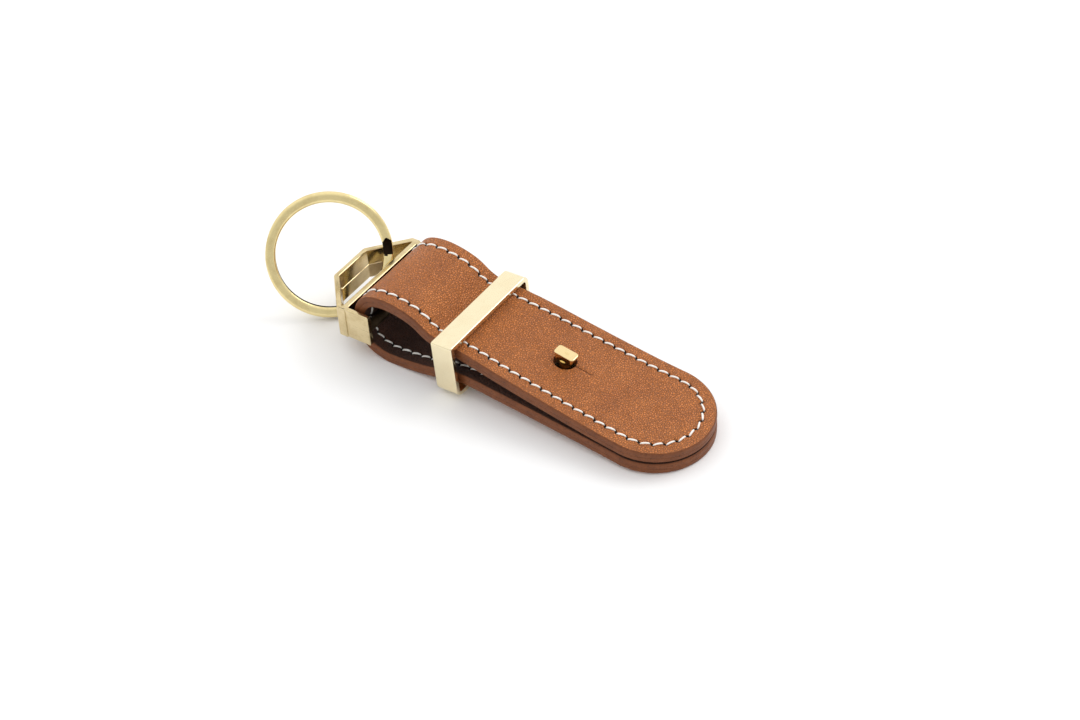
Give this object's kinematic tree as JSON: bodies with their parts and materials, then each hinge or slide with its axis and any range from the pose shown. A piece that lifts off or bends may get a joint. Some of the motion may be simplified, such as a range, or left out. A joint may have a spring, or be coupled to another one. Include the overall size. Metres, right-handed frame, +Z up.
{
  "type": "key fob",
  "caption": "Folded stitched leather key fob with a metal slider, a button stud closure, a trapezoid frame and a split ring that carries keys.",
  "frame": {"origin": "on the table under the middle of the object's box", "axes": "+X along the strap to its rounded tip, +Y across the strap, +Z up from the table"},
  "size_m": [0.1109, 0.0292, 0.0267],
  "materials": {
    "outer_leather": "smooth tan leather with a fine grain and dark painted edges",
    "lining_leather": "plain tan leather",
    "thread": "waxed cream sewing thread",
    "polished_gold": "polished gold plate",
    "pale_gold": "polished pale gold plate",
    "frame_gold": "cast and polished pale gold plate",
    "ring_gold": "gold plated flat wire"
  },
  "bodies": {
    "strap": {"outer_leather": "outer_leather", "lining_leather": "lining_leather", "outer_thread": "thread", "lining_thread": "thread", "button_stud": "polished_gold", "stud_screw": "polished_gold"},
    "tab": {"outer_leather_tab": "outer_leather", "lining_leather_tab": "lining_leather", "outer_thread_tab": "thread", "lining_thread_tab": "thread"},
    "slider": {"slider": "pale_gold"},
    "frame": {"frame": "frame_gold"},
    "split_ring": {"split_ring": "ring_gold"}
  },
  "joints": [
    {"name": "tab_lift", "type": "hinge", "parent": "strap", "child": "tab", "pos_m": [0.008, 0, 0.01035], "axis": [0, -1, 0], "range_deg": [0, 45]},
    {"name": "slider_slide", "type": "slide", "parent": "strap", "child": "slider", "axis": [0.9994, 0, -0.0349], "range_m": [0, 0.035]},
    {"name": "frame_tilt", "type": "hinge", "parent": "strap", "child": "frame", "pos_m": [-0.024, 0, 0.0086], "axis": [0, 1, 0], "range_deg": [-15, 15]},
    {"name": "ring_swing", "type": "hinge", "parent": "frame", "child": "split_ring", "pos_m": [-0.032, 0.00478, 0.00895], "axis": [0.0236, 0.5566, 0.8305], "range_deg": [-8, 30]}
  ]
}
